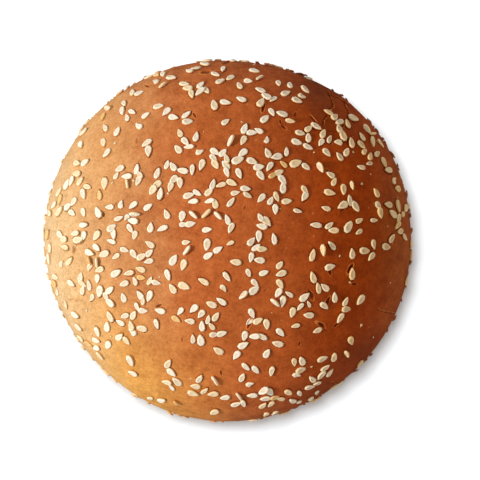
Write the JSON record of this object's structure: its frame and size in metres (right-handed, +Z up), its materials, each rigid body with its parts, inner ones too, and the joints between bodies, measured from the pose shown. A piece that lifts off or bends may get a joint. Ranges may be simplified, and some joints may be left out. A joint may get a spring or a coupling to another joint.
{
  "type": "bread roll",
  "caption": "Uncut round burger bun: a low, glossy brown dome strewn with sesame seeds, bulging sides and a flat sole that it rests on.",
  "frame": {"origin": "centre of the flat sole that the roll rests on", "axes": "+Z up through the crown of the dome, +X towards the dark side of the crust, +Y towards the side shown at the top of the picture"},
  "size_m": [0.1029, 0.1017, 0.0495],
  "materials": {
    "crust": "baked crust, satin from an egg or milk wash",
    "sesame": "hulled sesame seed, soft sheen"
  },
  "bodies": {
    "root": {"roll": "crust"}
  },
  "joints": []
}
